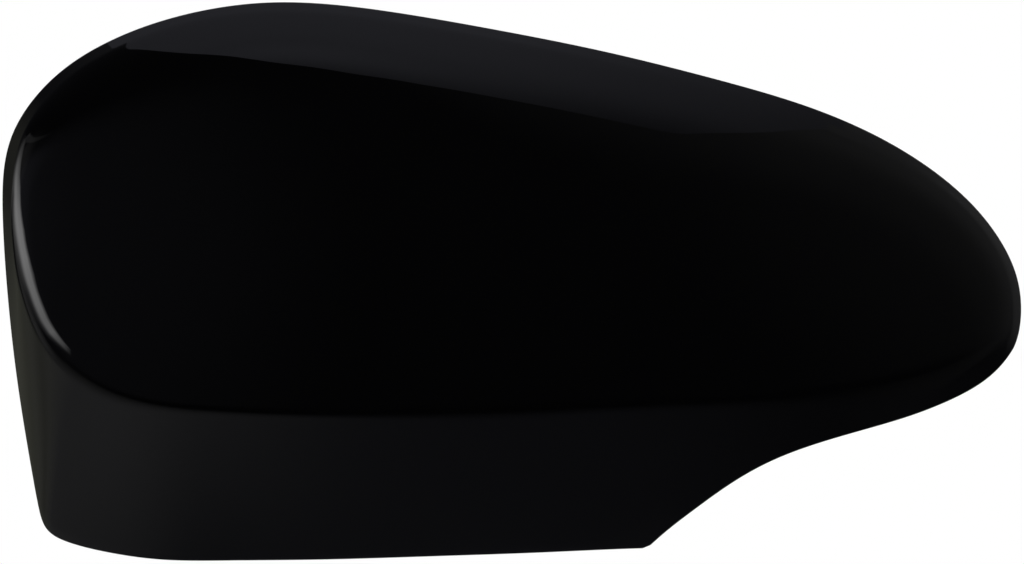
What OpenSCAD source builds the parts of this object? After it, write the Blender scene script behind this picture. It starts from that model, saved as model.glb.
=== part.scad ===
// Wing mirror cover for the right-hand side of a car: one moulded shell.
// A domed face looks forward along -Y, the open side looks back along +Y, and the
// arm leaves at +X. A fold line runs round the face. It is crisp at the outboard
// end and above the skirt, and melts into the crown along the top. Inside are the
// clip towers, ribs and locating pegs that such a cover has.
// The origin is on the axis of the main peg, at its shoulder.

/* [Overall size] */
// Length from the outboard edge to the arm end
cover_length = 228; // [205:1:250]
// Height of the outline
cover_height = 125.5; // [112:0.5:140]
// Depth from the foremost point of the face to the outboard rim
cover_depth = 78; // [70:1:90]
// How much further forward the rim lies at the arm end
rim_rake = 24; // [16:1:28]

/* [Shell] */
// Wall thickness of the moulding
wall = 2.5; // [2:0.1:3.2]
// Wall thickness of the thin lip along the rim
lip_wall = 1.3; // [1:0.1:1.6]
// How far the thin lip reaches in from the rim
lip_reach = 4; // [3:0.5:6]
// Radius of the face's dome seen from above
dome_radius_plan = 230; // [210:5:300]
// Radius of the face's dome seen from the end
dome_radius_side = 150; // [130:5:220]
// Length of the fold's rounding where it is crisp
crisp_round = 5; // [3.5:0.5:7]
// Length of the fold's rounding where it is the crown
crown_round = 30; // [22:1:36]

/* [Locating pegs] */
// Diameter of a peg
peg_d = 5; // [4:0.1:7]
// Length of a peg beyond its shoulder, with its tapered tip
peg_length = 9; // [6:0.5:14]
// Length of the tapered tip
peg_tip = 1; // [0.5:0.1:1.5]
// Diameter of the boss that carries a peg
boss_d = 10; // [8.5:0.5:13]
// Height of the main shoulder above the inside of the face
boss_height = 20; // [14:1:28]
// Distance between the two pegs
peg_spacing = 72; // [60:1:80]

/* [Clip towers] */
// Width of a tower along the rim
tower_w = 16; // [13:0.5:19]
// Length of a tower from front to back
tower_length = 20; // [16:1:24]
// How far a tower stands in from the wall
tower_stand = 6; // [4.5:0.5:8]
// How far a tower stays in front of the rim
tower_setback = 7; // [6.5:0.5:10]
// Width of the window in a tower
window_w = 9; // [6:0.5:10]
// Length of the window in a tower
window_length = 7; // [5:0.5:9]

/* [Ribs] */
// Thickness of a rib, a gusset and a tower's plates
rib_wall = 1.6; // [1.2:0.1:2]
// Height of a rib above the inside of the face
rib_height = 7; // [5:0.5:10]
// Reach of a web along the skirt and the face
web_reach = 15; // [12:0.5:18]
// Reach of a gusset from the middle of its boss
gusset_reach = 13; // [10:0.5:16]
// Height of a gusset above the inside of the face, at its boss
gusset_height = 10; // [7:0.5:11]

/* [Hidden] */

// Round solids are drawn this fine
$fn = 48;

// Places as shares of the length and height: the main peg at the origin, the middle
// of the dome, and the middle of the rays that the face is drawn along
origin_share = [0.30, 0.53];
dome_share = [0.42, 0.53];
middle_share = [0.50, 0.46];

// The fold line and the full rim, as shares of the length and height from the lower
// outboard corner. Each pair is joined by one straight line down the wall. The third
// value of the fold line is how soft the fold is there, from crisp to crown.
fold_line = [
    [0.019, 0.645, 0.00], [0.024, 0.720, 0.10], [0.040, 0.783, 0.40], [0.072, 0.845, 0.75],
    [0.114, 0.897, 0.95], [0.177, 0.941, 1.00], [0.262, 0.965, 1.00], [0.360, 0.955, 1.00],
    [0.470, 0.922, 1.00], [0.580, 0.882, 1.00], [0.685, 0.835, 1.00], [0.780, 0.783, 0.95],
    [0.860, 0.725, 0.85], [0.922, 0.654, 0.70], [0.962, 0.575, 0.55], [0.982, 0.500, 0.40],
    [0.985, 0.430, 0.30], [0.968, 0.375, 0.25], [0.925, 0.342, 0.20], [0.865, 0.318, 0.10],
    [0.795, 0.304, 0.03], [0.715, 0.293, 0.00], [0.631, 0.286, 0.00], [0.530, 0.277, 0.00],
    [0.425, 0.270, 0.00], [0.320, 0.267, 0.00], [0.231, 0.271, 0.00], [0.167, 0.280, 0.00],
    [0.121, 0.300, 0.00], [0.089, 0.330, 0.00], [0.066, 0.364, 0.00], [0.048, 0.404, 0.00],
    [0.034, 0.455, 0.00], [0.024, 0.514, 0.00], [0.019, 0.578, 0.00]
];
full_rim = [
    [0.000, 0.640], [0.004, 0.730], [0.020, 0.800], [0.052, 0.868],
    [0.100, 0.926], [0.170, 0.974], [0.262, 1.000], [0.365, 0.988],
    [0.480, 0.953], [0.592, 0.912], [0.698, 0.864], [0.795, 0.811],
    [0.877, 0.743], [0.940, 0.661], [0.979, 0.578], [0.998, 0.499],
    [1.000, 0.425], [0.986, 0.355], [0.940, 0.240], [0.870, 0.130],
    [0.795, 0.060], [0.715, 0.029], [0.631, 0.023], [0.530, 0.015],
    [0.425, 0.008], [0.320, 0.002], [0.230, 0.000], [0.160, 0.001],
    [0.105, 0.014], [0.067, 0.031], [0.044, 0.055], [0.035, 0.100],
    [0.027, 0.180], [0.014, 0.330], [0.004, 0.500]
];
// The arm's cut-out, which trims the wall below it, from the skirt to the arm end
cutout_line = [
    [0.600, -0.060], [0.631, 0.023], [0.670, 0.075], [0.715, 0.138], [0.765, 0.191],
    [0.815, 0.223], [0.870, 0.250], [0.920, 0.281], [0.960, 0.317], [0.990, 0.370],
    [1.010, 0.440]
];

// Columns of facets for each pair above, and rings on each stretch of the section
columns_per_pair = 3;
face_rings = 6;
fold_rings = 8;
wall_rings = 4;
// Passes that bring a smooth curve onto its chosen points, and halvings of a search
fit_passes = 12;
search_steps = 16;
// Small step of the pair number for a direction along the fold
step = 0.05;

// Roots of inner parts lie at this share of the wall, so that none shows outside
root_share = 0.6;
// Numbers of the pairs where clip towers and skirt webs stand
tower_pairs = [5.0, 8.0, 10.8, 34.0, 26.3, 23.3];
web_pairs = [21.6, 24.8, 27.8];
// Shares of the length where the cross ribs stand, and how far they reach from the
// spine up and down as shares of the height
cross_rib_shares = [0.16, 0.43, 0.70];
cross_rib_reach = [0.17, -0.12];
// Shares of the length where the spine rib ends, and what is left of a rib at its end
spine_shares = [0.10, 0.84];
rib_end_height = 1;

dome = place(dome_share);
middle = place(middle_share);
root = root_share * wall;
// The main shoulder is level with the origin
face_front = -boss_height - face_rise(0, 0) - wall * face_lean(0, 0);
fold_controls = through(fold_line, fold_line, fit_passes, true);
rim_controls = through(full_rim, full_rim, fit_passes, true);
cutout_controls = through(cutout_line, cutout_line, fit_passes, false);
cutout_samples = 60;
cutout_table = [
    for (i = [0:cutout_samples])
    place(on_curve(cutout_controls, i * (len(cutout_line) - 1) / cutout_samples, false))
];

// From shares of the length and height to x and z
function place(share) = [
    (share.x - origin_share.x) * cover_length,
    (share.y - origin_share.y) * cover_height
];

// An item of a list that is closed to a loop, or that repeats its ends
function pick(list, i, closed) =
    closed ? list[(i + 2 * len(list)) % len(list)] : list[min(max(i, 0), len(list) - 1)];

// Point at number t of the smooth curve that the control points pull
function on_curve(controls, t, closed) =
    let(
        i = floor(t),
        s = t - i
    )
    ((1 - s) ^ 3 * pick(controls, i - 1, closed)
    + (3 * s ^ 3 - 6 * s ^ 2 + 4) * pick(controls, i, closed)
    + (3 * s ^ 2 + 3 * s + 1 - 3 * s ^ 3) * pick(controls, i + 1, closed)
    + s ^ 3 * pick(controls, i + 2, closed)) / 6;

// Control points that bring the smooth curve onto the points chosen
function through(points, controls, passes, closed) =
    passes == 0 ? controls : through(
        points,
        [
            for (i = [0:len(points) - 1])
            controls[i] + points[i] - on_curve(controls, i, closed)
        ],
        passes - 1,
        closed
    );

function unit(v) = v / norm(v);

// How far the dome falls back at x and z, and how much its slope stretches an inset
function face_rise(x, z) =
    (x - dome.x) ^ 2 / (2 * dome_radius_plan) + (z - dome.y) ^ 2 / (2 * dome_radius_side);
function face_lean(x, z) =
    norm([1, (x - dome.x) / dome_radius_plan, (z - dome.y) / dome_radius_side]);

// Depth of the face at x and z, or of the surface that lies inset behind it
function face_y(x, z, inset) = face_front + face_rise(x, z) + inset * face_lean(x, z);

// Depth of the full rim at x
function rim_y(x) =
    face_front + cover_depth - rim_rake * (x / cover_length + origin_share.x) ^ 2;

// The fold on the outer surface at number t, and the full rim there
function outer_fold(t) =
    let(p = place(on_curve(fold_controls, t, true)))
    [p.x, face_y(p.x, p.y, 0), p.y];
function outer_full_rim(t) =
    let(p = place(on_curve(rim_controls, t, true)))
    [p.x, rim_y(p.x), p.y];

// Height of the arm's cut-out above a point on the way from a fold to a rim
function over_cutout(fold, rim, share) =
    let(p = fold + share * (rim - fold))
    p.z - lookup(p.x, cutout_table);

// Share of the wall, from the fold to the full rim, that the cut-out leaves
function kept_share(fold, rim, low, high, steps) =
    steps == 0 ? (low + high) / 2 :
    over_cutout(fold, rim, (low + high) / 2) > 0
    ? kept_share(fold, rim, (low + high) / 2, high, steps - 1)
    : kept_share(fold, rim, low, (low + high) / 2, steps - 1);

// The rim that is left on the outer surface
function outer_rim(t) =
    let(
        fold = outer_fold(t),
        rim = outer_full_rim(t),
        full = rim.x < cutout_table[0].x || over_cutout(fold, rim, 1) >= 0
    )
    full ? rim : fold + kept_share(fold, rim, 0, 1, search_steps) * (rim - fold);

// Direction square to the wall at number t, toward the inside
function wall_inward(t) =
    unit(cross(outer_full_rim(t) - outer_fold(t), outer_fold(t + step) - outer_fold(t - step)));

// Direction square to the face at x and z, toward the inside
function face_inward(x, z) =
    unit([-(x - dome.x) / dome_radius_plan, 1, -(z - dome.y) / dome_radius_side]);

// The fold of the surface that lies inset behind the outer one
function fold_at(t, inset) =
    let(
        fold = outer_fold(t),
        face = face_inward(fold.x, fold.z),
        side = wall_inward(t),
        p = fold + inset * (face + side) / (1 + face * side)
    )
    [p.x, face_y(p.x, p.z, inset), p.z];
function rim_at(t, inset) = outer_rim(t) + inset * wall_inward(t);

// Length of the fold's rounding at number t on a surface with an inset
function round_at(t, inset) =
    let(
        full = crisp_round + on_curve(fold_controls, t, true)[2] * (crown_round - crisp_round),
        fold = outer_fold(t),
        half_turn = acos(face_inward(fold.x, fold.z) * wall_inward(t)) / 2
    )
    full ^ 2 / (full + inset * tan(half_turn));

// Points from the middle of the face to the rim at number t. The rounding leaves
// the face and meets the wall without a jump in its curvature.
function section(t, inset, face_rings, fold_rings, wall_rings, end_cut) =
    let(
        fold = fold_at(t, inset),
        rim = rim_at(t, inset),
        ray = [middle.x, middle.y] - [fold.x, fold.z],
        inward = unit(ray),
        down = unit(rim - fold),
        round = round_at(t, inset),
        last = norm(rim - fold) - end_cut
    )
    [
        for (i = [1:face_rings])
        let(
            p = [fold.x, fold.z] + inward * (norm(ray) + (round - norm(ray)) * i / face_rings)
        )
        [p.x, face_y(p.x, p.y, inset), p.y],
        for (i = [1:fold_rings])
        let(
            s = i / fold_rings,
            p = [fold.x, fold.z] + inward * round * (1 - s) ^ 3 * (1 + s)
        )
        [p.x, face_y(p.x, p.y, inset), p.y] + down * round * s ^ 3 * (2 - s),
        for (i = [1:wall_rings])
        fold + down * (round + (last - round) * i / wall_rings)
    ];

// Every ring of the shell in one column: out over the face to the rim, round the lip
// and back along the inside
function column(t) =
    let(
        outside = section(t, 0, face_rings, fold_rings, wall_rings, 0),
        inside = section(t, wall, face_rings, fold_rings, wall_rings, lip_reach),
        rim = outer_rim(t),
        down = unit(rim - outer_fold(t)),
        inward = wall_inward(t)
    )
    [
        each outside,
        rim + inward * lip_wall,
        rim + inward * lip_wall - down * lip_reach,
        for (i = [len(inside) - 1:-1:0]) inside[i]
    ];

module shell() {
    columns = len(fold_line) * columns_per_pair;
    grid = [for (i = [0:columns - 1]) column(i / columns_per_pair)];
    rings = len(grid[0]);
    points = [
        each [for (c = grid) each c],
        [middle.x, face_y(middle.x, middle.y, 0), middle.y],
        [middle.x, face_y(middle.x, middle.y, wall), middle.y]
    ];
    front = columns * rings;
    back = front + 1;
    faces = [
        for (i = [0:columns - 1])
        let(
            here = i * rings,
            next = ((i + 1) % columns) * rings
        )
        each [
            [front, here, next],
            for (j = [0:rings - 2])
            each [
                [here + j, here + j + 1, next + j + 1],
                [here + j, next + j + 1, next + j]
            ],
            [back, next + rings - 1, here + rings - 1]
        ]
    ];
    polyhedron(points, faces, convexity = 8);
}

// Keeps what lies inside the wall's root plane under the face at x and z
module seated(x, z) {
    facing = face_inward(x, z);
    block = 2 * boss_d;
    difference() {
        children();
        translate([x, face_y(x, z, root), z])
        rotate([asin(facing.z), 0, atan2(-facing.x, facing.y)])
        translate([-block, -2 * block, -block])
        cube(2 * block);
    }
}

// A peg along +Y with its boss, which stands square on its shoulder's plane
module peg(x, z) {
    boss_root = face_y(x, z, 0);
    seated(x, z)
    translate([x, boss_root, z])
    rotate([-90, 0, 0])
    cylinder(h = -boss_root, d = boss_d);
    translate([x, -wall, z])
    rotate([-90, 0, 0]) {
        cylinder(h = wall + peg_length - peg_tip, d = peg_d);
        translate([0, 0, wall + peg_length - peg_tip])
        cylinder(h = peg_tip, d1 = peg_d, d2 = peg_d - peg_tip);
    }
    for (turn = [0:90:270])
    rib(
        [x, z],
        [x, z] + gusset_reach * [cos(turn), sin(turn)],
        gusset_height,
        rib_end_height
    );
}

// A flat plate under the face from one place to another, with its height at each end
module rib(from, to, from_height, to_height) {
    run = norm(to - from);
    along = (to - from) / run;
    stations = 12;
    function at(share) = from + along * run * share;
    function y_at(share, inset) = face_y(at(share).x, at(share).y, inset);
    translate([from.x, 0, from.y])
    rotate([0, -atan2(along.y, along.x), 0])
    linear_extrude(rib_wall, center = true)
    polygon([
        for (i = [0:stations]) [run * i / stations, y_at(i / stations, root)],
        for (i = [stations:-1:0])
        [
            run * i / stations,
            y_at(i / stations, wall) + from_height
            + (to_height - from_height) * i / stations
        ]
    ]);
}

// Ribs under the face: a spine through both pegs, and cross ribs
module face_ribs() {
    spine = [for (share = spine_shares) [place([share, 0]).x, 0]];
    rib(spine[0], [0, 0], rib_end_height, rib_height);
    rib([0, 0], [peg_spacing, 0], rib_height, rib_height);
    rib([peg_spacing, 0], spine[1], rib_height, rib_end_height);
    for (share = cross_rib_shares) {
        x = place([share, 0]).x;
        for (reach = cross_rib_reach)
        rib([x, 0], [x, reach * cover_height], rib_height - rib_end_height, rib_end_height);
    }
}

// Point where the line down the wall at number t, at an inset, passes depth y
function wall_at(t, inset, y) =
    let(
        fold = fold_at(t, inset),
        rim = rim_at(t, inset)
    )
    fold + (rim - fold) * (y - fold.y) / (rim.y - fold.y);

// A web that ties the face to the skirt below the fold
module skirt_web(t) {
    fold = fold_at(t, root);
    down = unit(rim_at(t, root) - fold);
    low = fold + down * web_reach;
    high = fold.z + web_reach;
    translate([fold.x, 0, 0])
    rotate([0, -90, 0])
    linear_extrude(rib_wall, center = true)
    polygon([
        [high, face_y(fold.x, high, root)],
        [fold.z, fold.y],
        [low.z, low.y]
    ]);
}

// A clip tower at number t: two webs carry a plate with a window, along the wall
module tower(t) {
    rim = rim_at(t, wall);
    tangent = rim_at(t + step, wall) - rim_at(t - step, wall);
    inward = unit([-tangent.z, tangent.x]) * sign(-tangent.z * wall_inward(t).x
        + tangent.x * wall_inward(t).z);
    back = rim.y - tower_setback;
    front = back - tower_length;
    function distance(y, inset) =
        let(p = wall_at(t, inset, y) - rim)
        p.x * inward.x + p.z * inward.y;
    plate = distance(front, wall) + tower_stand;
    translate([rim.x, 0, rim.z])
    rotate([0, -atan2(inward.y, inward.x), 0]) {
        for (side = [-1, 1])
        translate([0, 0, side * (tower_w - rib_wall) / 2])
        linear_extrude(rib_wall, center = true)
        polygon([
            [distance(front - tower_stand, root), front - tower_stand],
            [plate, front],
            [plate, back],
            [distance(back, root), back]
        ]);
        difference() {
            translate([plate - rib_wall, front, -tower_w / 2])
            cube([rib_wall, tower_length, tower_w]);
            translate([plate - 2 * rib_wall, back - rib_wall - window_length, -window_w / 2])
            cube([3 * rib_wall, window_length, window_w]);
        }
    }
}

module mirror_cover() {
    color("#101012")
    union() {
        shell();
        peg(0, 0);
        peg(peg_spacing, 0);
        face_ribs();
        for (t = web_pairs) skirt_web(t);
        for (t = tower_pairs) tower(t);
    }
}

mirror_cover();
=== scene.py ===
import math

import bmesh
import bpy
import numpy as np
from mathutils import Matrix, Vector, kdtree

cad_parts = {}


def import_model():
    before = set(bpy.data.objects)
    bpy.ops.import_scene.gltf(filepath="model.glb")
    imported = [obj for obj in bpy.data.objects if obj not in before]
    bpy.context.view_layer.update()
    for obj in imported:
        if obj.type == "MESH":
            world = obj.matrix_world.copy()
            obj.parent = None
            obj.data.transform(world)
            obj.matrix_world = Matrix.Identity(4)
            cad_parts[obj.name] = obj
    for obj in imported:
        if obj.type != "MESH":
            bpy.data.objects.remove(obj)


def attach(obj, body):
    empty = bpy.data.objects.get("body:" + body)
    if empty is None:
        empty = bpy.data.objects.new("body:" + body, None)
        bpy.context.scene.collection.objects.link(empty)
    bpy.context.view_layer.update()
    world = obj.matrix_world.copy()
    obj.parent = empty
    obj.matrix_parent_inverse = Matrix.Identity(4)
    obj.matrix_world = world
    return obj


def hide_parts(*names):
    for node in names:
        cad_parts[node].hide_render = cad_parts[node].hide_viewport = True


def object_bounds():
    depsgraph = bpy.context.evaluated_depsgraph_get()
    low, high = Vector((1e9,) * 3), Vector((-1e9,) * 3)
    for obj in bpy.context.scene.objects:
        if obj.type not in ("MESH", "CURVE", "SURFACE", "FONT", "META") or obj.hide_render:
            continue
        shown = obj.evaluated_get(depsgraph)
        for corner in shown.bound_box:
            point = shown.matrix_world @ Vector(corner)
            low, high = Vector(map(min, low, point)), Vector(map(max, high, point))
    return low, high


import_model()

cad_box = [list(corner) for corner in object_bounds()]

# Shapes are worked out in millimetres and made in metres
MM = 0.001

# The shell's sizes, as in the part's source, apart from the cut-out's line, which is
# within a millimetre of it
LENGTH, HEIGHT, DEPTH, RAKE = 228, 125.5, 78, 24
WALL, LIP_WALL, LIP_REACH = 2.5, 1.3, 4
DOME_PLAN, DOME_SIDE = 230, 150
CRISP_ROUND, CROWN_ROUND = 5, 30
PEG_D, PEG_LENGTH, PEG_TIP = 5, 9, 1
BOSS_D, BOSS_HEIGHT, PEG_SPACING = 10, 20, 72
TOWER_W, TOWER_LENGTH, TOWER_STAND, TOWER_SETBACK = 16, 20, 6, 7
WINDOW_W, WINDOW_LENGTH = 9, 7
RIB_WALL, RIB_HEIGHT, RIB_END = 1.6, 7, 1
WEB_REACH, GUSSET_REACH, GUSSET_HEIGHT = 15, 13, 10

ORIGIN = np.array([0.30, 0.53])
DOME_SHARE = np.array([0.42, 0.53])
MIDDLE_SHARE = np.array([0.50, 0.46])
FOLD_LINE = np.array([
    (0.019, 0.645, 0.00), (0.024, 0.720, 0.10), (0.040, 0.783, 0.40), (0.072, 0.845, 0.75),
    (0.114, 0.897, 0.95), (0.177, 0.941, 1.00), (0.262, 0.965, 1.00), (0.360, 0.955, 1.00),
    (0.470, 0.922, 1.00), (0.580, 0.882, 1.00), (0.685, 0.835, 1.00), (0.780, 0.783, 0.95),
    (0.860, 0.725, 0.85), (0.922, 0.654, 0.70), (0.962, 0.575, 0.55), (0.982, 0.500, 0.40),
    (0.985, 0.430, 0.30), (0.968, 0.375, 0.25), (0.925, 0.342, 0.20), (0.865, 0.318, 0.10),
    (0.795, 0.304, 0.03), (0.715, 0.293, 0.00), (0.631, 0.286, 0.00), (0.530, 0.277, 0.00),
    (0.425, 0.270, 0.00), (0.320, 0.267, 0.00), (0.231, 0.271, 0.00), (0.167, 0.280, 0.00),
    (0.121, 0.300, 0.00), (0.089, 0.330, 0.00), (0.066, 0.364, 0.00), (0.048, 0.404, 0.00),
    (0.034, 0.455, 0.00), (0.024, 0.514, 0.00), (0.019, 0.578, 0.00),
])
FULL_RIM = np.array([
    (0.000, 0.640), (0.004, 0.730), (0.020, 0.800), (0.052, 0.868),
    (0.100, 0.926), (0.170, 0.974), (0.262, 1.000), (0.365, 0.988),
    (0.480, 0.953), (0.592, 0.912), (0.698, 0.864), (0.795, 0.811),
    (0.877, 0.743), (0.940, 0.661), (0.979, 0.578), (0.998, 0.499),
    (1.000, 0.425), (0.986, 0.355), (0.940, 0.240), (0.870, 0.130),
    (0.795, 0.060), (0.715, 0.029), (0.631, 0.023), (0.530, 0.015),
    (0.425, 0.008), (0.320, 0.002), (0.230, 0.000), (0.160, 0.001),
    (0.105, 0.014), (0.067, 0.031), (0.044, 0.055), (0.035, 0.100),
    (0.027, 0.180), (0.014, 0.330), (0.004, 0.500),
])
CUTOUT_LINE = np.array([
    (0.607, -0.031), (0.642, 0.035), (0.677, 0.089), (0.713, 0.138), (0.748, 0.176),
    (0.783, 0.203), (0.819, 0.224), (0.854, 0.242), (0.889, 0.261), (0.924, 0.285),
    (0.960, 0.319), (0.990, 0.372), (1.010, 0.440),
])
TOWER_PAIRS = (5.0, 8.0, 10.8, 34.0, 26.3, 23.3)
WEB_PAIRS = (21.6, 24.8, 27.8)
CROSS_RIB_SHARES = (0.16, 0.43, 0.70)
CROSS_RIB_REACH = (0.17, -0.12)
SPINE_SHARES = (0.10, 0.84)

# Columns of the fine mesh between two points of the fold line, and its rings on the
# face, the fold and the wall, outside and inside
COLUMNS_PER_PAIR = 12
OUTER_RINGS = (32, 22, 14)
INNER_RINGS = (16, 10, 8)
# How far along the fold line the next point lies that shows where it runs
STEP = 0.05
SEARCH_STEPS = 26
FIT_PASSES = 14
CUTOUT_POINTS = 241
# How deep the roots of inner features go into the wall
ROOT = 1.0


def place(share):
    """Shares of the length and height to x and z."""
    return (np.asarray(share) - ORIGIN) * (LENGTH, HEIGHT)


def unit(v):
    return v / np.linalg.norm(v, axis=-1, keepdims=True)


def on_curve(controls, t, closed=True):
    """Points at the numbers t of the smooth curve that the control points pull."""
    t = np.atleast_1d(np.asarray(t, float))
    i = np.floor(t).astype(int)
    s = (t - i)[:, None]
    n = len(controls)

    def pick(k):
        return controls[k % n] if closed else controls[np.clip(k, 0, n - 1)]

    return (
        (1 - s) ** 3 * pick(i - 1)
        + (3 * s ** 3 - 6 * s ** 2 + 4) * pick(i)
        + (3 * s ** 2 + 3 * s + 1 - 3 * s ** 3) * pick(i + 1)
        + s ** 3 * pick(i + 2)
    ) / 6


def through(points, closed=True):
    """Control points that bring the smooth curve onto the points chosen."""
    controls = points.copy()
    for _ in range(FIT_PASSES):
        controls = controls + points - on_curve(controls, np.arange(len(points)), closed)
    return controls


DOME, MIDDLE = place(DOME_SHARE), place(MIDDLE_SHARE)


def face_rise(x, z):
    return (x - DOME[0]) ** 2 / (2 * DOME_PLAN) + (z - DOME[1]) ** 2 / (2 * DOME_SIDE)


def face_lean(x, z):
    return np.sqrt(1 + ((x - DOME[0]) / DOME_PLAN) ** 2 + ((z - DOME[1]) / DOME_SIDE) ** 2)


FACE_FRONT = -BOSS_HEIGHT - face_rise(0, 0) - WALL * face_lean(0, 0)


def face_y(x, z, inset):
    return FACE_FRONT + face_rise(x, z) + inset * face_lean(x, z)


def face_inward(x, z):
    lean_x, lean_z = -(x - DOME[0]) / DOME_PLAN, -(z - DOME[1]) / DOME_SIDE
    return unit(np.stack([lean_x, np.ones_like(x), lean_z], -1))


def rim_y(x):
    return FACE_FRONT + DEPTH - RAKE * (x / LENGTH + ORIGIN[0]) ** 2


fold_controls, rim_controls = through(FOLD_LINE), through(FULL_RIM)
cutout_controls = through(CUTOUT_LINE, False)
cutout_steps = np.linspace(0, len(CUTOUT_LINE) - 1, CUTOUT_POINTS)
cutout_table = place(on_curve(cutout_controls, cutout_steps, False))


def outer_fold(t):
    p = place(on_curve(fold_controls, t)[:, :2])
    return np.stack([p[:, 0], face_y(p[:, 0], p[:, 1], 0), p[:, 1]], -1)


def outer_full_rim(t):
    p = place(on_curve(rim_controls, t))
    return np.stack([p[:, 0], rim_y(p[:, 0]), p[:, 1]], -1)


def outer_rim(t):
    """The rim that the arm's cut-out leaves."""
    fold, rim = outer_fold(t), outer_full_rim(t)

    def over(share):
        p = fold + share[:, None] * (rim - fold)
        return p[:, 2] - np.interp(p[:, 0], cutout_table[:, 0], cutout_table[:, 1])

    full = (rim[:, 0] < cutout_table[0, 0]) | (over(np.ones(len(rim))) >= 0)
    low, high = np.zeros(len(rim)), np.ones(len(rim))
    for _ in range(SEARCH_STEPS):
        half = (low + high) / 2
        up = over(half) > 0
        low, high = np.where(up, half, low), np.where(up, high, half)
    kept = np.where(full, 1, (low + high) / 2)
    return fold + kept[:, None] * (rim - fold)


def wall_inward(t):
    t = np.atleast_1d(t)
    along = outer_fold(t + STEP) - outer_fold(t - STEP)
    return unit(np.cross(outer_full_rim(t) - outer_fold(t), along))


def fold_at(t, inset):
    fold, side = outer_fold(t), wall_inward(t)
    face = face_inward(fold[:, 0], fold[:, 2])
    p = fold + inset * (face + side) / (1 + (face * side).sum(-1, keepdims=True))
    p[:, 1] = face_y(p[:, 0], p[:, 2], inset)
    return p


def rim_at(t, inset):
    return outer_rim(t) + inset * wall_inward(t)


def round_at(t, inset):
    full = CRISP_ROUND + on_curve(fold_controls, t)[:, 2] * (CROWN_ROUND - CRISP_ROUND)
    fold = outer_fold(t)
    turn = np.arccos((face_inward(fold[:, 0], fold[:, 2]) * wall_inward(t)).sum(-1))
    return full ** 2 / (full + inset * np.tan(turn / 2))


def section(t, inset, rings, end_cut):
    """Points from the middle of the face to the rim, one row for each number t."""
    fold, rim = fold_at(t, inset), rim_at(t, inset)
    flat = fold[:, [0, 2]]
    ray = MIDDLE - flat
    run = np.linalg.norm(ray, axis=1)[:, None]
    inward, down = ray / run, unit(rim - fold)
    turn = round_at(t, inset)[:, None]
    last = np.linalg.norm(rim - fold, axis=1)[:, None] - end_cut
    on_face, on_fold, on_wall = rings
    out = []

    def on_dome(p):
        return np.stack([p[:, 0], face_y(p[:, 0], p[:, 1], inset), p[:, 1]], -1)

    for i in range(1, on_face + 1):
        out.append(on_dome(flat + inward * (run + (turn - run) * i / on_face)))
    for i in range(1, on_fold + 1):
        s = i / on_fold
        edge = on_dome(flat + inward * turn * (1 - s) ** 3 * (1 + s))
        out.append(edge + down * turn * s ** 3 * (2 - s))
    for i in range(1, on_wall + 1):
        out.append(fold + down * (turn + (last - turn) * i / on_wall))
    return np.stack(out, 1)


# Meshes
def new_object(name, points, faces):
    """A mesh object from points in millimetres."""
    mesh = bpy.data.meshes.new(name)
    mesh.from_pydata((np.asarray(points, float) * MM).tolist(), [], faces)
    mesh.update()
    obj = bpy.data.objects.new(name, mesh)
    bpy.context.scene.collection.objects.link(obj)
    return obj


def outward(obj):
    bm = bmesh.new()
    bm.from_mesh(obj.data)
    bmesh.ops.recalc_face_normals(bm, faces=bm.faces)
    bm.to_mesh(obj.data)
    bm.free()
    return obj


# Radii of the rounding on the rim's outer edge and in the lip's other corners
EDGE = 0.4
SOFT = 0.3


def arc(centre, radius, start, end, steps=4):
    """Points of an arc as pairs, with angles in degrees."""
    turn = np.radians(np.linspace(start, end, steps + 1))
    return [(centre[0] + radius * math.cos(a), centre[1] + radius * math.sin(a)) for a in turn]


def lip_profile():
    """The lip from the outer wall to the inner one, as pairs: how far past the rim and in."""
    return (
        arc((-EDGE, EDGE), EDGE, -90, 0)[1:]
        + arc((-SOFT, LIP_WALL - SOFT), SOFT, 0, 90)
        + arc((SOFT - LIP_REACH, LIP_WALL + SOFT), SOFT, -90, -180)
        + arc((-LIP_REACH - SOFT, WALL - SOFT), SOFT, 0, 90)[:-1]
    )


def shell():
    columns = len(FOLD_LINE) * COLUMNS_PER_PAIR
    t = np.arange(columns) / COLUMNS_PER_PAIR
    outside = section(t, 0, OUTER_RINGS, EDGE)
    inside = section(t, WALL, INNER_RINGS, LIP_REACH + SOFT)
    rim, inward = outer_rim(t), wall_inward(t)
    down = unit(rim - outer_fold(t))
    lip = np.stack([rim + down * a + inward * b for a, b in lip_profile()], 1)
    grid = np.concatenate([outside, lip, inside[:, ::-1]], 1)
    rings = grid.shape[1]
    points = np.concatenate([
        grid.reshape(-1, 3),
        [(MIDDLE[0], face_y(*MIDDLE, 0), MIDDLE[1]), (MIDDLE[0], face_y(*MIDDLE, WALL), MIDDLE[1])],
    ])
    front, back = columns * rings, columns * rings + 1
    faces = []
    for i in range(columns):
        here, after = i * rings, (i + 1) % columns * rings
        faces.append((front, here, after))
        faces.append((back, after + rings - 1, here + rings - 1))
        faces += [(here + j, here + j + 1, after + j + 1, after + j) for j in range(rings - 1)]
    return outward(new_object("shell", points, faces)), rim


def lofted(rings):
    """A closed solid through rings that have as many points each."""
    count, sides = len(rings), len(rings[0])
    faces = [tuple(range(sides))[::-1], tuple((count - 1) * sides + k for k in range(sides))]
    for i in range(count - 1):
        for k in range(sides):
            n = (k + 1) % sides
            faces.append((i * sides + k, i * sides + n, (i + 1) * sides + n, (i + 1) * sides + k))
    return outward(new_object("feature", np.concatenate(rings), faces))


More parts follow.
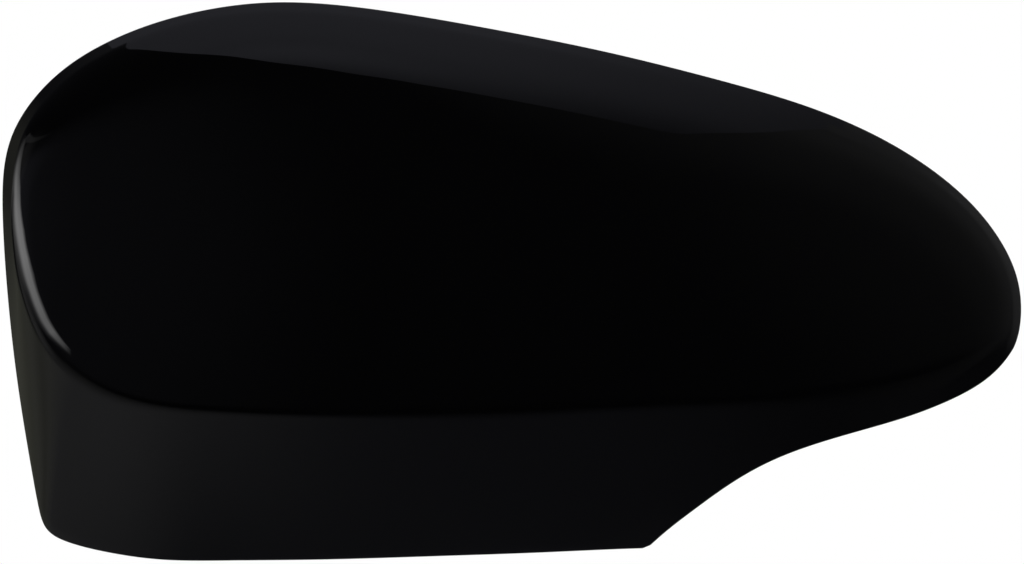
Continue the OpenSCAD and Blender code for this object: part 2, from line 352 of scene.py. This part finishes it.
# Roundings of the inner features, and the shares of a low rib's height that they may take
FILLET, TOP_ROUND = 0.9, 0.35
FILLET_SHARE, CREST_SHARE = 0.6, 0.3
RIB_SECTIONS = 15
BOSS_FILLET, SHOULDER_ROUND, TIP_ROUND = 1.2, 0.4, 0.25
TURN_STEP = 5
BEVEL = 0.22
# An edge is sharp where its faces turn by more than this, in radians
SHARP_TURN = 0.3


def rib(start, end, start_height, end_height):
    """A rib on the inside of the face, with a fillet along each side of its root."""
    start, end = np.array(start, float), np.array(end, float)
    run = np.linalg.norm(end - start)
    along = (end - start) / run
    side = np.array([-along[1], along[0]])
    half = RIB_WALL / 2
    rings = []
    for s in np.linspace(0, 1, RIB_SECTIONS):
        centre = start + along * run * s
        height = start_height + (end_height - start_height) * s
        fillet = min(FILLET, FILLET_SHARE * height)
        crest = min(TOP_ROUND, CREST_SHARE * height)
        low = [(half + fillet, -ROOT)] + arc((half + fillet, fillet), fillet, 270, 180)
        high = arc((half - crest, height - crest), crest, 0, 90, 3)
        ring = []
        for u, v in low:
            x, z = centre + side * u
            ring.append((x, face_y(x, z, WALL) + v, z))
        ridge = face_y(*centre, WALL)
        for u, v in high + [(-u, v) for u, v in high[::-1]]:
            x, z = centre + side * u
            ring.append((x, ridge + v, z))
        for u, v in low[::-1]:
            x, z = centre - side * u
            ring.append((x, face_y(x, z, WALL) + v, z))
        rings.append(np.array(ring))
    return lofted(rings)


def peg(x, z):
    """A peg on its boss, turned about Y, with a fillet at the boss's root."""
    turn = np.radians(np.arange(0, 360, TURN_STEP))
    circle = np.stack([np.cos(turn), np.sin(turn)], -1)
    boss, pin, root, soft = BOSS_D / 2, PEG_D / 2, BOSS_FILLET, SHOULDER_ROUND
    taper = PEG_LENGTH - PEG_TIP
    profile = arc((boss - soft, -soft), soft, 0, 90)
    profile += arc((pin + soft, soft), soft, 270, 180)
    profile += [(pin, taper - 0.15), (pin - 0.03, taper + 0.1)]
    profile += arc((pin - 0.5 * PEG_TIP - 0.2, PEG_LENGTH - TIP_ROUND), TIP_ROUND, 20, 90)
    rings = []
    for radius, rise in [(boss + root, -ROOT)] + arc((boss + root, root), root, 270, 180, 6):
        p = np.array([x, z]) + circle * radius
        rings.append(np.stack([p[:, 0], face_y(p[:, 0], p[:, 1], WALL) + rise, p[:, 1]], -1))
    for radius, y in profile:
        p = np.array([x, z]) + circle * radius
        rings.append(np.stack([p[:, 0], np.full(len(p), y), p[:, 1]], -1))
    return lofted(rings)


def bevelled(obj):
    """Rounds the sharp edges of a simple solid."""
    bm = bmesh.new()
    bm.from_mesh(obj.data)
    bmesh.ops.recalc_face_normals(bm, faces=bm.faces)
    sharp = [e for e in bm.edges if e.calc_face_angle(0) > SHARP_TURN]
    bmesh.ops.bevel(bm, geom=sharp, offset=BEVEL * MM, segments=2, profile=0.5, affect="EDGES")
    bm.to_mesh(obj.data)
    bm.free()
    return obj


def plate(outline, thickness, to_frame):
    """A flat plate of an outline, bevelled. to_frame turns (a, b, c) into x, y and z."""
    rings = [[to_frame(a, b, c) for a, b in outline] for c in (-thickness / 2, thickness / 2)]
    return bevelled(lofted([np.array(r) for r in rings]))


def skirt_web(t):
    t = np.array([t])
    inset = WALL - ROOT
    fold = fold_at(t, inset)[0]
    down = unit(rim_at(t, inset)[0] - fold)
    low = fold + down * WEB_REACH
    high = fold[2] + WEB_REACH
    outline = [(high, face_y(fold[0], high, inset)), (fold[2], fold[1]), (low[2], low[1])]
    return plate(outline, RIB_WALL, lambda z, y, c: (fold[0] + c, y, z))


def tower(t):
    """A clip tower: two webs carry a plate with a window, along the wall."""
    t = np.array([t])
    rim = rim_at(t, WALL)[0]
    tangent = (rim_at(t + STEP, WALL) - rim_at(t - STEP, WALL))[0]
    wall = wall_inward(t)[0]
    inward = unit(np.array([-tangent[2], tangent[0]]))
    inward = inward * np.sign(inward @ wall[[0, 2]])
    across = np.array([-inward[1], inward[0]])
    back = rim[1] - TOWER_SETBACK
    front = back - TOWER_LENGTH

    def distance(y, inset):
        fold, edge = fold_at(t, inset)[0], rim_at(t, inset)[0]
        p = fold + (edge - fold) * (y - fold[1]) / (edge[1] - fold[1]) - rim
        return p[[0, 2]] @ inward

    def to_frame(reach, y, side):
        p = rim[[0, 2]] + inward * reach + across * side
        return (p[0], y, p[1])

    reach = distance(front, WALL) + TOWER_STAND
    inset = WALL - ROOT
    outline = [
        (distance(front - TOWER_STAND, inset), front - TOWER_STAND),
        (reach, front),
        (reach, back),
        (distance(back, inset), back),
    ]
    parts = []
    for side in (-1, 1):
        shift = side * (TOWER_W - RIB_WALL) / 2
        parts.append(plate(outline, RIB_WALL, lambda a, b, c, s=shift: to_frame(a, b, c + s)))
    half, window = TOWER_W / 2, WINDOW_W / 2
    top, bottom = back - RIB_WALL, back - RIB_WALL - WINDOW_LENGTH
    outer = [(-half, front), (half, front), (half, back), (-half, back)]
    inner = [(-window, bottom), (window, bottom), (window, top), (-window, top)]
    points = [
        to_frame(a, y, s)
        for a in (reach - RIB_WALL, reach)
        for s, y in outer + inner
    ]
    faces = []
    for k in range(4):
        n = (k + 1) % 4
        faces += [
            (k, n, n + 4, k + 4),
            (k + 8, k + 12, n + 12, n + 8),
            (k, k + 8, n + 8, n),
            (k + 4, n + 4, n + 12, k + 12),
        ]
    parts.append(bevelled(new_object("feature", points, faces)))
    return parts


def features():
    found = [peg(0, 0), peg(PEG_SPACING, 0)]
    for x in (0, PEG_SPACING):
        for dx, dz in ((1, 0), (0, 1), (-1, 0), (0, -1)):
            tip = (x + GUSSET_REACH * dx, GUSSET_REACH * dz)
            found.append(rib((x, 0), tip, GUSSET_HEIGHT, RIB_END))
    ends = [place((share, 0))[0] for share in SPINE_SHARES]
    found.append(rib((0, 0), (ends[0], 0), RIB_HEIGHT, RIB_END))
    found.append(rib((0, 0), (PEG_SPACING, 0), RIB_HEIGHT, RIB_HEIGHT))
    found.append(rib((PEG_SPACING, 0), (ends[1], 0), RIB_HEIGHT, RIB_END))
    for share in CROSS_RIB_SHARES:
        x = place((share, 0))[0]
        for reach in CROSS_RIB_REACH:
            found.append(rib((x, 0), (x, reach * HEIGHT), RIB_HEIGHT - RIB_END, RIB_END))
    found += [skirt_web(t) for t in WEB_PAIRS]
    for t in TOWER_PAIRS:
        found += tower(t)
    return found


def united(base, others):
    """One solid of base and the others, which are removed."""
    for o in others:
        join = base.modifiers.new("join", "BOOLEAN")
        join.operation = "UNION"
        join.solver = "MANIFOLD"
        join.object = o
    bpy.context.view_layer.update()
    graph = bpy.context.evaluated_depsgraph_get()
    mesh = bpy.data.meshes.new_from_object(base.evaluated_get(graph))
    base.modifiers.clear()
    base.data = mesh
    for o in others:
        bpy.data.objects.remove(o)
    return base


# Materials
def material(name):
    m = bpy.data.materials.new(name)
    m.use_nodes = True
    nodes, links = m.node_tree.nodes, m.node_tree.links
    nodes.clear()
    out = nodes.new("ShaderNodeOutputMaterial")
    return m, nodes, links, out


def noise(nodes, links, where, scale, detail):
    n = nodes.new("ShaderNodeTexNoise")
    n.inputs["Scale"].default_value = scale
    n.inputs["Detail"].default_value = detail
    links.new(where, n.inputs["Vector"])
    return n.outputs["Fac"]


def ramp(nodes, links, value, low, high, to_low=0.0, to_high=1.0, smooth=True):
    n = nodes.new("ShaderNodeMapRange")
    n.interpolation_type = "SMOOTHSTEP" if smooth else "LINEAR"
    n.inputs["From Min"].default_value = low
    n.inputs["From Max"].default_value = high
    n.inputs["To Min"].default_value = to_low
    n.inputs["To Max"].default_value = to_high
    links.new(value, n.inputs["Value"])
    return n.outputs["Result"]


def arithmetic(nodes, links, what, a, b):
    n = nodes.new("ShaderNodeMath")
    n.operation = what
    for socket, value in zip(n.inputs, (a, b)):
        if isinstance(value, (int, float)):
            socket.default_value = value
        else:
            links.new(value, socket)
    return n.outputs["Value"]


def mix_colours(nodes, links, share, a, b):
    n = nodes.new("ShaderNodeMix")
    n.data_type = "RGBA"
    links.new(share, n.inputs["Factor"])
    for socket, value in ((n.inputs[6], a), (n.inputs[7], b)):
        if isinstance(value, tuple):
            socket.default_value = (*value, 1)
        else:
            links.new(value, socket)
    return n.outputs[2]


def bump(nodes, links, height, strength, distance):
    n = nodes.new("ShaderNodeBump")
    n.inputs["Strength"].default_value = strength
    n.inputs["Distance"].default_value = distance
    links.new(height, n.inputs["Height"])
    return n.outputs["Normal"]


PAINT_DARK, PAINT_PALE = (0.0006, 0.0006, 0.0007), (0.0009, 0.0009, 0.0010)
PAINT_ROUGHNESS, COAT_ROUGHNESS, COAT_IOR = 0.3, 0.02, 1.5
# The bare plastic's two greys are its own dark tone, raised to hold a painted sheen in place of the
# gloss the dark cards don't give it
PLASTIC_AND_SHEEN_DARK, PLASTIC_AND_SHEEN_PALE = (0.046, 0.046, 0.048), (0.064, 0.064, 0.066)
MIST_TONE, MIST_DRIFT, MIST_GLOSS = (0.006, 0.006, 0.0065), 0.3, -0.25
# Depths of the orange peel and the grain in metres
PEEL_DEPTH, GRAIN_DEPTH = 0.00002, 0.00005


def gloss_paint():
    """Gloss black under a clear coat, with a faint orange peel."""
    m, nodes, links, out = material("gloss_black_paint")
    where = nodes.new("ShaderNodeTexCoord").outputs["Object"]
    paint = nodes.new("ShaderNodeBsdfPrincipled")
    tone = noise(nodes, links, where, scale=40, detail=3)
    links.new(
        mix_colours(nodes, links, tone, PAINT_DARK, PAINT_PALE),
        paint.inputs["Base Color"],
    )
    paint.inputs["Roughness"].default_value = PAINT_ROUGHNESS
    paint.inputs["Specular IOR Level"].default_value = 0.0
    paint.inputs["Coat Weight"].default_value = 1.0
    paint.inputs["Coat Roughness"].default_value = COAT_ROUGHNESS
    paint.inputs["Coat IOR"].default_value = COAT_IOR
    peel = noise(nodes, links, where, scale=420, detail=1)
    links.new(bump(nodes, links, peel, 0.06, PEEL_DEPTH), paint.inputs["Coat Normal"])
    links.new(paint.outputs["BSDF"], out.inputs["Surface"])
    return m


def moulded_plastic():
    """Bare black moulding, its grey raised by a painted sheen, with a fine grain, and paint mist
    that fades in from the rim.
    """
    m, nodes, links, out = material("moulded_black_plastic")
    where = nodes.new("ShaderNodeTexCoord").outputs["Object"]
    plastic = nodes.new("ShaderNodeBsdfPrincipled")
    cloud = noise(nodes, links, where, scale=30, detail=4)
    grain = noise(nodes, links, where, scale=2600, detail=2)
    mist = nodes.new("ShaderNodeAttribute")
    mist.attribute_name = "near_rim"
    drift = noise(nodes, links, where, scale=90, detail=2)
    drift = arithmetic(nodes, links, "MULTIPLY", drift, MIST_DRIFT)
    misted = arithmetic(nodes, links, "ADD", mist.outputs["Fac"], drift)
    misted = ramp(nodes, links, misted, low=0.55, high=1.15)
    # The plastic's own tone with its painted sheen, varied at random
    bare_and_sheen = mix_colours(nodes, links, cloud, PLASTIC_AND_SHEEN_DARK, PLASTIC_AND_SHEEN_PALE)
    links.new(mix_colours(nodes, links, misted, bare_and_sheen, MIST_TONE), plastic.inputs["Base Color"])
    dull = ramp(nodes, links, cloud, low=0.3, high=0.7, to_low=0.42, to_high=0.52)
    gloss = arithmetic(nodes, links, "MULTIPLY", misted, MIST_GLOSS)
    links.new(arithmetic(nodes, links, "ADD", dull, gloss), plastic.inputs["Roughness"])
    links.new(bump(nodes, links, grain, 0.25, GRAIN_DEPTH), plastic.inputs["Normal"])
    links.new(plastic.outputs["BSDF"], out.inputs["Surface"])
    return m


# The cover
paint, plastic = gloss_paint(), moulded_plastic()
cover, rim_line = shell()
inner = features()
cover = united(cover, [united(inner[0], inner[1:])])
cover.name = cover.data.name = "mirror_cover_moulding"

# The rim's curve on the fine mesh stands out past the source's flat facets by a few
# hundredths of a millimetre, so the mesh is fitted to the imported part's box
count = len(cover.data.vertices)
points = np.zeros(count * 3, np.float32)
cover.data.vertices.foreach_get("co", points)
points = points.reshape(-1, 3).astype(float)
low, high = points.min(0), points.max(0)
box_low, box_high = (np.array(corner) for corner in cad_box)
points = box_low + (points - low) * (box_high - box_low) / (high - low)
cover.data.vertices.foreach_set("co", points.astype(np.float32).ravel())

# Paint covers every face that looks out, and the lip. Mist fades in past it. A face looks
# back where its normal's Y is over LOOKS_BACK, and to the front where it is under LOOKS_AHEAD.
MIST_REACH, PAINT_REACH = 14, 3
LOOKS_AHEAD, LOOKS_BACK = -0.05, 0.2
SMOOTH_TURN = 38
tree = kdtree.KDTree(len(rim_line))
for i, p in enumerate(rim_line):
    tree.insert(Vector(p) * MM, i)
tree.balance()
near = np.array([tree.find(Vector(p))[2] for p in points]) / MM
attribute = cover.data.attributes.new("near_rim", "FLOAT", "POINT")
attribute.data.foreach_set("value", np.clip(1 - near / MIST_REACH, 0, 1).astype(np.float32))

cover.data.materials.clear()
cover.data.materials.append(paint)
cover.data.materials.append(plastic)
cover.data.update()
for polygon in cover.data.polygons:
    centre = np.array(polygon.center) / MM
    normal = np.array(polygon.normal)
    ahead = centre[1] - face_y(centre[0], centre[2], 0)
    polygon.material_index = 0
    polygon.use_smooth = True
    away = centre[[0, 2]] - MIDDLE
    looks_out = normal[1] < LOOKS_AHEAD or normal[[0, 2]] @ away > 0
    inside = ahead > WALL and normal[1] > LOOKS_BACK and near[polygon.vertices[0]] > PAINT_REACH
    if not looks_out or inside:
        polygon.material_index = 1
cover.data.set_sharp_from_angle(angle=math.radians(SMOOTH_TURN))

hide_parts("mirror_cover")
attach(cover, "root")

# Studio
CENTRE = Vector((0.0463, 0.015, -0.004))
WORLD_LEVEL = 0.5
NEUTRAL, COOL, WARM = (1.0, 1.0, 1.0), (0.98, 0.99, 1.16), (1.02, 1.03, 0.81)


def glow(name, parts, see_through=False):
    """Emission made of parts, each a tint and a function that makes its radiance socket."""
    m, nodes, links, out = material(name)
    total = nodes.new("ShaderNodeBsdfTransparent").outputs["BSDF"] if see_through else None
    for tint, radiance in parts:
        light = nodes.new("ShaderNodeEmission")
        light.inputs["Color"].default_value = (*tint, 1)
        links.new(radiance(nodes, links), light.inputs["Strength"])
        if total is None:
            total = light.outputs["Emission"]
        else:
            both = nodes.new("ShaderNodeAddShader")
            links.new(total, both.inputs[0])
            links.new(light.outputs["Emission"], both.inputs[1])
            total = both.outputs["Shader"]
    links.new(total, out.inputs["Surface"])
    return m


def card(name, points, faces, look):
    """A card that shows in gloss alone, as a flag or softbox beside the camera does."""
    mesh = bpy.data.meshes.new(name)
    mesh.from_pydata([tuple(p) for p in points], [], faces)
    mesh.update()
    obj = bpy.data.objects.new(name, mesh)
    bpy.context.scene.collection.objects.link(obj)
    obj.location = CENTRE
    mesh.materials.append(look)
    obj.visible_camera = obj.visible_diffuse = obj.visible_transmission = False
    obj.visible_shadow = obj.visible_volume_scatter = False
    return obj


def direction(azimuth, elevation):
    """Azimuth 0 is toward the camera and 90 toward +X."""
    a, e = math.radians(azimuth), math.radians(elevation)
    return Vector((math.sin(a) * math.cos(e), -math.cos(a) * math.cos(e), math.sin(e)))


def grid_faces(rows, columns, closed=False):
    """Quads between rows of points."""
    faces = []
    for i in range(rows - 1):
        for k in range(columns if closed else columns - 1):
            n = (k + 1) % columns
            here, after = i * columns, (i + 1) * columns
            faces.append((here + k, here + n, after + n, after + k))
    return faces


# The cards stand far off, so that their mirror images hardly shift over the part
TENT_RADIUS, CARD_RADIUS = 10, 9

# Dark cloth all round, with soft patches that pick up a little light: azimuth,
# elevation and half width in degrees, and radiance
CLOTH = 0.004
COOL_PATCHES = (
    (0, 0, 95, 0.0065),
    (-60, 1, 55, 0.040),
    (-70, 5, 32, 0.07),
    (-170, -50, 44, 0.020),
)
PLAIN_PATCHES = (
    (96, 28, 75, 0.059),
    (158, 4, 17, 0.020),
    (171, 15, 20, 0.011),
    (112, -42, 25, 0.018),
    (-110, -8, 28, 0.15),
    (-103, 14, 31, 0.085),
    (-126, -46, 37, 0.081),
    (-151, -13, 17, 0.017),
)


def patches(rows, least):
    """A function that makes the radiance of soft patches over an even least level."""
    def radiance(nodes, links):
        where = nodes.new("ShaderNodeTexCoord").outputs["Object"]
        way = nodes.new("ShaderNodeVectorMath")
        way.operation = "NORMALIZE"
        links.new(where, way.inputs[0])
        total = least
        for azimuth, elevation, width, most in rows:
            toward = nodes.new("ShaderNodeVectorMath")
            toward.operation = "DOT_PRODUCT"
            links.new(way.outputs["Vector"], toward.inputs[0])
            toward.inputs[1].default_value = direction(azimuth, elevation)
            edge = math.cos(math.radians(width))
            patch = ramp(nodes, links, toward.outputs["Value"], edge, 1, 0, most)
            total = arithmetic(nodes, links, "ADD", total, patch)
        return total
    return radiance


def tent():
    """A ball of dark cloth round everything, seen in gloss alone."""
    rows, columns = 24, 48
    points = [
        direction(360 * k / columns, 90 - 180 * i / rows) * TENT_RADIUS
        for i in range(rows + 1)
        for k in range(columns)
    ]
    look = glow("tent_cloth", [
        (COOL, patches(COOL_PATCHES, CLOTH)),
        (NEUTRAL, patches(PLAIN_PATCHES, 0)),
    ])
    card("tent", points, grid_faces(rows + 1, columns, True), look)


# Where the overhead panel's edges run, in shares of its height above the part: across
# and back, from the middle of its front edge round its left side and its right side
PANEL_LEFT = (
    (0.10, -0.58), (0.03, -0.60), (-0.05, -0.61), (-0.13, -0.57), (-0.23, -0.48),
    (-0.30, -0.32), (-0.36, -0.06), (-0.42, 0.25), (-0.47, 0.86), (-0.51, 1.6),
    (-0.54, 2.6), (-0.60, 5.3), (-0.77, 9.5), (-1.20, 30),
)
PANEL_RIGHT = (
    (0.12, -0.58), (0.20, -0.55), (0.30, -0.53), (0.42, -0.53), (0.53, -0.52),
    (0.54, -0.35), (0.53, -0.05), (0.51, 0.35), (0.49, 0.86), (0.49, 1.7),
    (0.495, 2.8), (0.515, 4.6), (0.59, 7.2), (0.75, 30),
)
# Its glow falls off toward the back and the right, round a brighter spot near the front
PANEL_LEVEL, PANEL_LEAST, PANEL_REACH = 0.17, 0.02, 0.75
SPOT_X, SPOT_Y, SPOT_REACH, SPOT_LEVEL = -0.14, -0.25, 0.5, 0.07
RIGHT_FROM, RIGHT_TO, RIGHT_SHARE = 0.1, 0.55, 0.52
PANEL_ROWS = 97


def overhead(nodes, links):
    def both(what, a, b):
        return arithmetic(nodes, links, what, a, b)

    where = nodes.new("ShaderNodeSeparateXYZ")
    links.new(nodes.new("ShaderNodeTexCoord").outputs["Object"], where.inputs[0])
    across = both("DIVIDE", where.outputs["X"], where.outputs["Z"])
    back = both("DIVIDE", where.outputs["Y"], where.outputs["Z"])
    share = both("DIVIDE", back, PANEL_REACH)
    tone = both("DIVIDE", PANEL_LEVEL, both("ADD", both("MULTIPLY", share, share), 1))
    tone = both("ADD", tone, PANEL_LEAST)
    right = ramp(nodes, links, across, RIGHT_FROM, RIGHT_TO, 1, RIGHT_SHARE)
    tone = both("MULTIPLY", tone, right)
    dx, dy = both("SUBTRACT", across, SPOT_X), both("SUBTRACT", back, SPOT_Y)
    far = both("SQRT", both("ADD", both("MULTIPLY", dx, dx), both("MULTIPLY", dy, dy)), 0)
    spot = ramp(nodes, links, far, 0, SPOT_REACH, SPOT_LEVEL, 0)
    return both("ADD", tone, spot)


def overhead_panel():
    steps = np.linspace(0, len(PANEL_LEFT) - 1, PANEL_ROWS)
    edges = np.array(PANEL_LEFT), np.array(PANEL_RIGHT)
    sides = [on_curve(through(edge, False), steps, False) for edge in edges]
    points = [
        Vector((*sides[k][i], 1)).normalized() * CARD_RADIUS
        for i in range(len(steps))
        for k in (0, 1)
    ]
    look = glow("overhead_light", [(COOL, overhead)])
    card("overhead_panel", points, grid_faces(len(steps), 2), look)


# The side light gives the bright line down the outboard edge. Each row is the azimuth
# and elevation of its two ends, and its radiance. The trace is a fainter line past its top.
SIDE_LIGHT = (
    (-151, 17, -132, 25, 0.0), (-150, 14, -125, 23, 0.15), (-149, 10, -117, 21, 0.30),
    (-147, 9, -108, 18.5, 0.53), (-146, 7, -98, 15.5, 0.78), (-138, 6, -84, 12.5, 1.35),
    (-127, 5.5, -77, 10, 1.85), (-118, 3.5, -69, 7, 2.6), (-108, 1, -60, 4, 3.1),
    (-97, -1.5, -57, 2, 3.3), (-89, -4, -53, 0, 3.4), (-84, -7.5, -50, -2.5, 3.0),
    (-77, -10.5, -49.5, -5.3, 2.8), (-75, -13.5, -48.5, -8, 2.6), (-73, -17, -48, -10, 2.2),
    (-65, -19.5, -46, -12, 2.2), (-54, -19.5, -44, -13.5, 1.1), (-50, -21, -43, -15, 0.0),
)
SIDE_TRACE = (
    (-149, 14, -129, 19, 0.0), (-146, 20, -134, 22, 0.05), (-140, 26, -133, 24, 0.06),
    (-127, 32, -124, 29, 0.07), (-112, 37, -110, 34, 0.07), (-98, 41, -96, 38, 0.06),
    (-88, 43, -87, 40, 0.04), (-80, 44.5, -79, 41.5, 0.0),
)
# What the outboard wall picks up from low down behind the part
WALL_LIGHT = (
    (-184, 4.8, -142, 4.8, 0.0), (-184, 2.5, -143, 2.5, 0.011), (-183, 0.6, -145, 0.6, 0.009),
    (-183, -0.5, -146, -0.5, 0.028), (-182, -1.3, -146, -1.6, 0.042), (-182, -4, -146, -5, 0.038),
    (-182, -9, -138, -12, 0.040), (-178, -18, -132, -22, 0.045), (-174, -34, -136, -36, 0.0),
)
# How a ribbon's glow rises and falls across it, in shares of the way between its ends
EVEN = ((-0.12, 0), (0.12, 1), (0.5, 1), (0.88, 1), (1.12, 0))
SLOW_RISE = (
    (-0.9, 0), (-0.4, 0.06), (-0.12, 0.15), (0.12, 0.46), (0.3, 0.8), (0.5, 1),
    (0.88, 0.97), (1.12, 0),
)


def level_of_card(nodes, links):
    level = nodes.new("ShaderNodeAttribute")
    level.attribute_name = "level"
    return level.outputs["Fac"]


def ribbon(name, rows, profile=EVEN, tint=NEUTRAL):
    """A see-through card that glows between the ends of each row, and fades past them."""
    points, levels = [], []
    for azimuth, elevation, end_azimuth, end_elevation, most in rows:
        start, end = direction(azimuth, elevation), direction(end_azimuth, end_elevation)
        for share, level in profile:
            points.append((start + (end - start) * share).normalized() * CARD_RADIUS)
            levels.append(most * level)
    look = glow(name + "_glow", [(tint, level_of_card)], True)
    obj = card(name, points, grid_faces(len(rows), len(profile)), look)
    obj.data.attributes.new("level", "FLOAT", "POINT").data.foreach_set("value", levels)


FLOOR_RADIUS, FLOOR_DROP = 0.56, 0.013
FLOOR_DARK, FLOOR_PALE = (0.86, 0.86, 0.86), (0.90, 0.90, 0.90)
# The floor fades out between these shares of its radius
FADE_FROM, FADE_TO = 0.5, 0.98


def floor():
    """A pale floor that fades into the white round it and shows from above alone."""
    bm = bmesh.new()
    bmesh.ops.create_circle(bm, cap_ends=True, segments=96, radius=FLOOR_RADIUS)
    mesh = bpy.data.meshes.new("floor")
    bm.to_mesh(mesh)
    bm.free()
    obj = bpy.data.objects.new("floor", mesh)
    bpy.context.scene.collection.objects.link(obj)
    obj.location = (CENTRE.x, CENTRE.y, cad_box[0][2] - FLOOR_DROP)
    m, nodes, links, out = material("pale_floor")
    where = nodes.new("ShaderNodeTexCoord").outputs["Object"]
    far = nodes.new("ShaderNodeVectorMath")
    far.operation = "LENGTH"
    links.new(where, far.inputs[0])
    pale = nodes.new("ShaderNodeBsdfPrincipled")
    tone = noise(nodes, links, where, scale=6, detail=3)
    links.new(mix_colours(nodes, links, tone, FLOOR_DARK, FLOOR_PALE), pale.inputs["Base Color"])
    pale.inputs["Roughness"].default_value = 0.8
    clear = nodes.new("ShaderNodeBsdfTransparent")
    blend = nodes.new("ShaderNodeMixShader")
    from_here, to_here = FADE_FROM * FLOOR_RADIUS, FADE_TO * FLOOR_RADIUS
    fade = ramp(nodes, links, far.outputs["Value"], from_here, to_here)
    under = nodes.new("ShaderNodeNewGeometry").outputs["Backfacing"]
    links.new(arithmetic(nodes, links, "MAXIMUM", fade, under), blend.inputs["Fac"])
    links.new(pale.outputs["BSDF"], blend.inputs[1])
    links.new(clear.outputs["BSDF"], blend.inputs[2])
    links.new(blend.outputs["Shader"], out.inputs["Surface"])
    mesh.materials.append(m)
    obj.visible_glossy = False


def lamp(name, position, size, power):
    """A soft lamp that lights the part's own colour. Its gloss comes from the cards."""
    data = bpy.data.lights.new(name, "AREA")
    data.shape = "SQUARE"
    data.size = size
    data.energy = power
    obj = bpy.data.objects.new(name, data)
    bpy.context.scene.collection.objects.link(obj)
    obj.location = position
    obj.rotation_euler = (CENTRE - Vector(position)).to_track_quat("-Z", "Y").to_euler()
    obj.visible_camera = obj.visible_glossy = False


def world():
    """White to the eye and in gloss and glass, and a plain level of light on the part."""
    w = bpy.data.worlds.new("white_world")
    bpy.context.scene.world = w
    w.use_nodes = True
    nodes, links = w.node_tree.nodes, w.node_tree.links
    nodes.clear()
    out = nodes.new("ShaderNodeOutputWorld")
    path = nodes.new("ShaderNodeLightPath")
    seen = path.outputs["Is Camera Ray"]
    for ray in ("Is Glossy Ray", "Is Transmission Ray"):
        seen = arithmetic(nodes, links, "MAXIMUM", seen, path.outputs[ray])
    sky = nodes.new("ShaderNodeBackground")
    sky.inputs["Color"].default_value = (1, 1, 1, 1)
    links.new(ramp(nodes, links, seen, 0, 1, WORLD_LEVEL, 1.0, False), sky.inputs["Strength"])
    links.new(sky.outputs["Background"], out.inputs["Surface"])


world()
tent()
overhead_panel()
ribbon("side_light", SIDE_LIGHT, SLOW_RISE)
ribbon("side_trace", SIDE_TRACE)
ribbon("wall_light", WALL_LIGHT, tint=WARM)
floor()
lamp("key_lamp", (-0.5, -0.9, 1.5), size=1.2, power=14)
lamp("back_lamp", (0.5, 1.2, 1.1), size=1.2, power=10)

# Camera
camera_data = bpy.data.cameras.new("camera")
camera_data.lens = 469.2
camera_data.sensor_width = 36
camera_data.clip_start, camera_data.clip_end = 0.1, 40
camera = bpy.data.objects.new("camera", camera_data)
bpy.context.scene.collection.objects.link(camera)
camera.location = (0.04620, -2.948, -0.00391)
camera.rotation_euler = (math.radians(90), 0, 0)
bpy.context.scene.camera = camera

bpy.context.scene.view_settings.view_transform = "Standard"
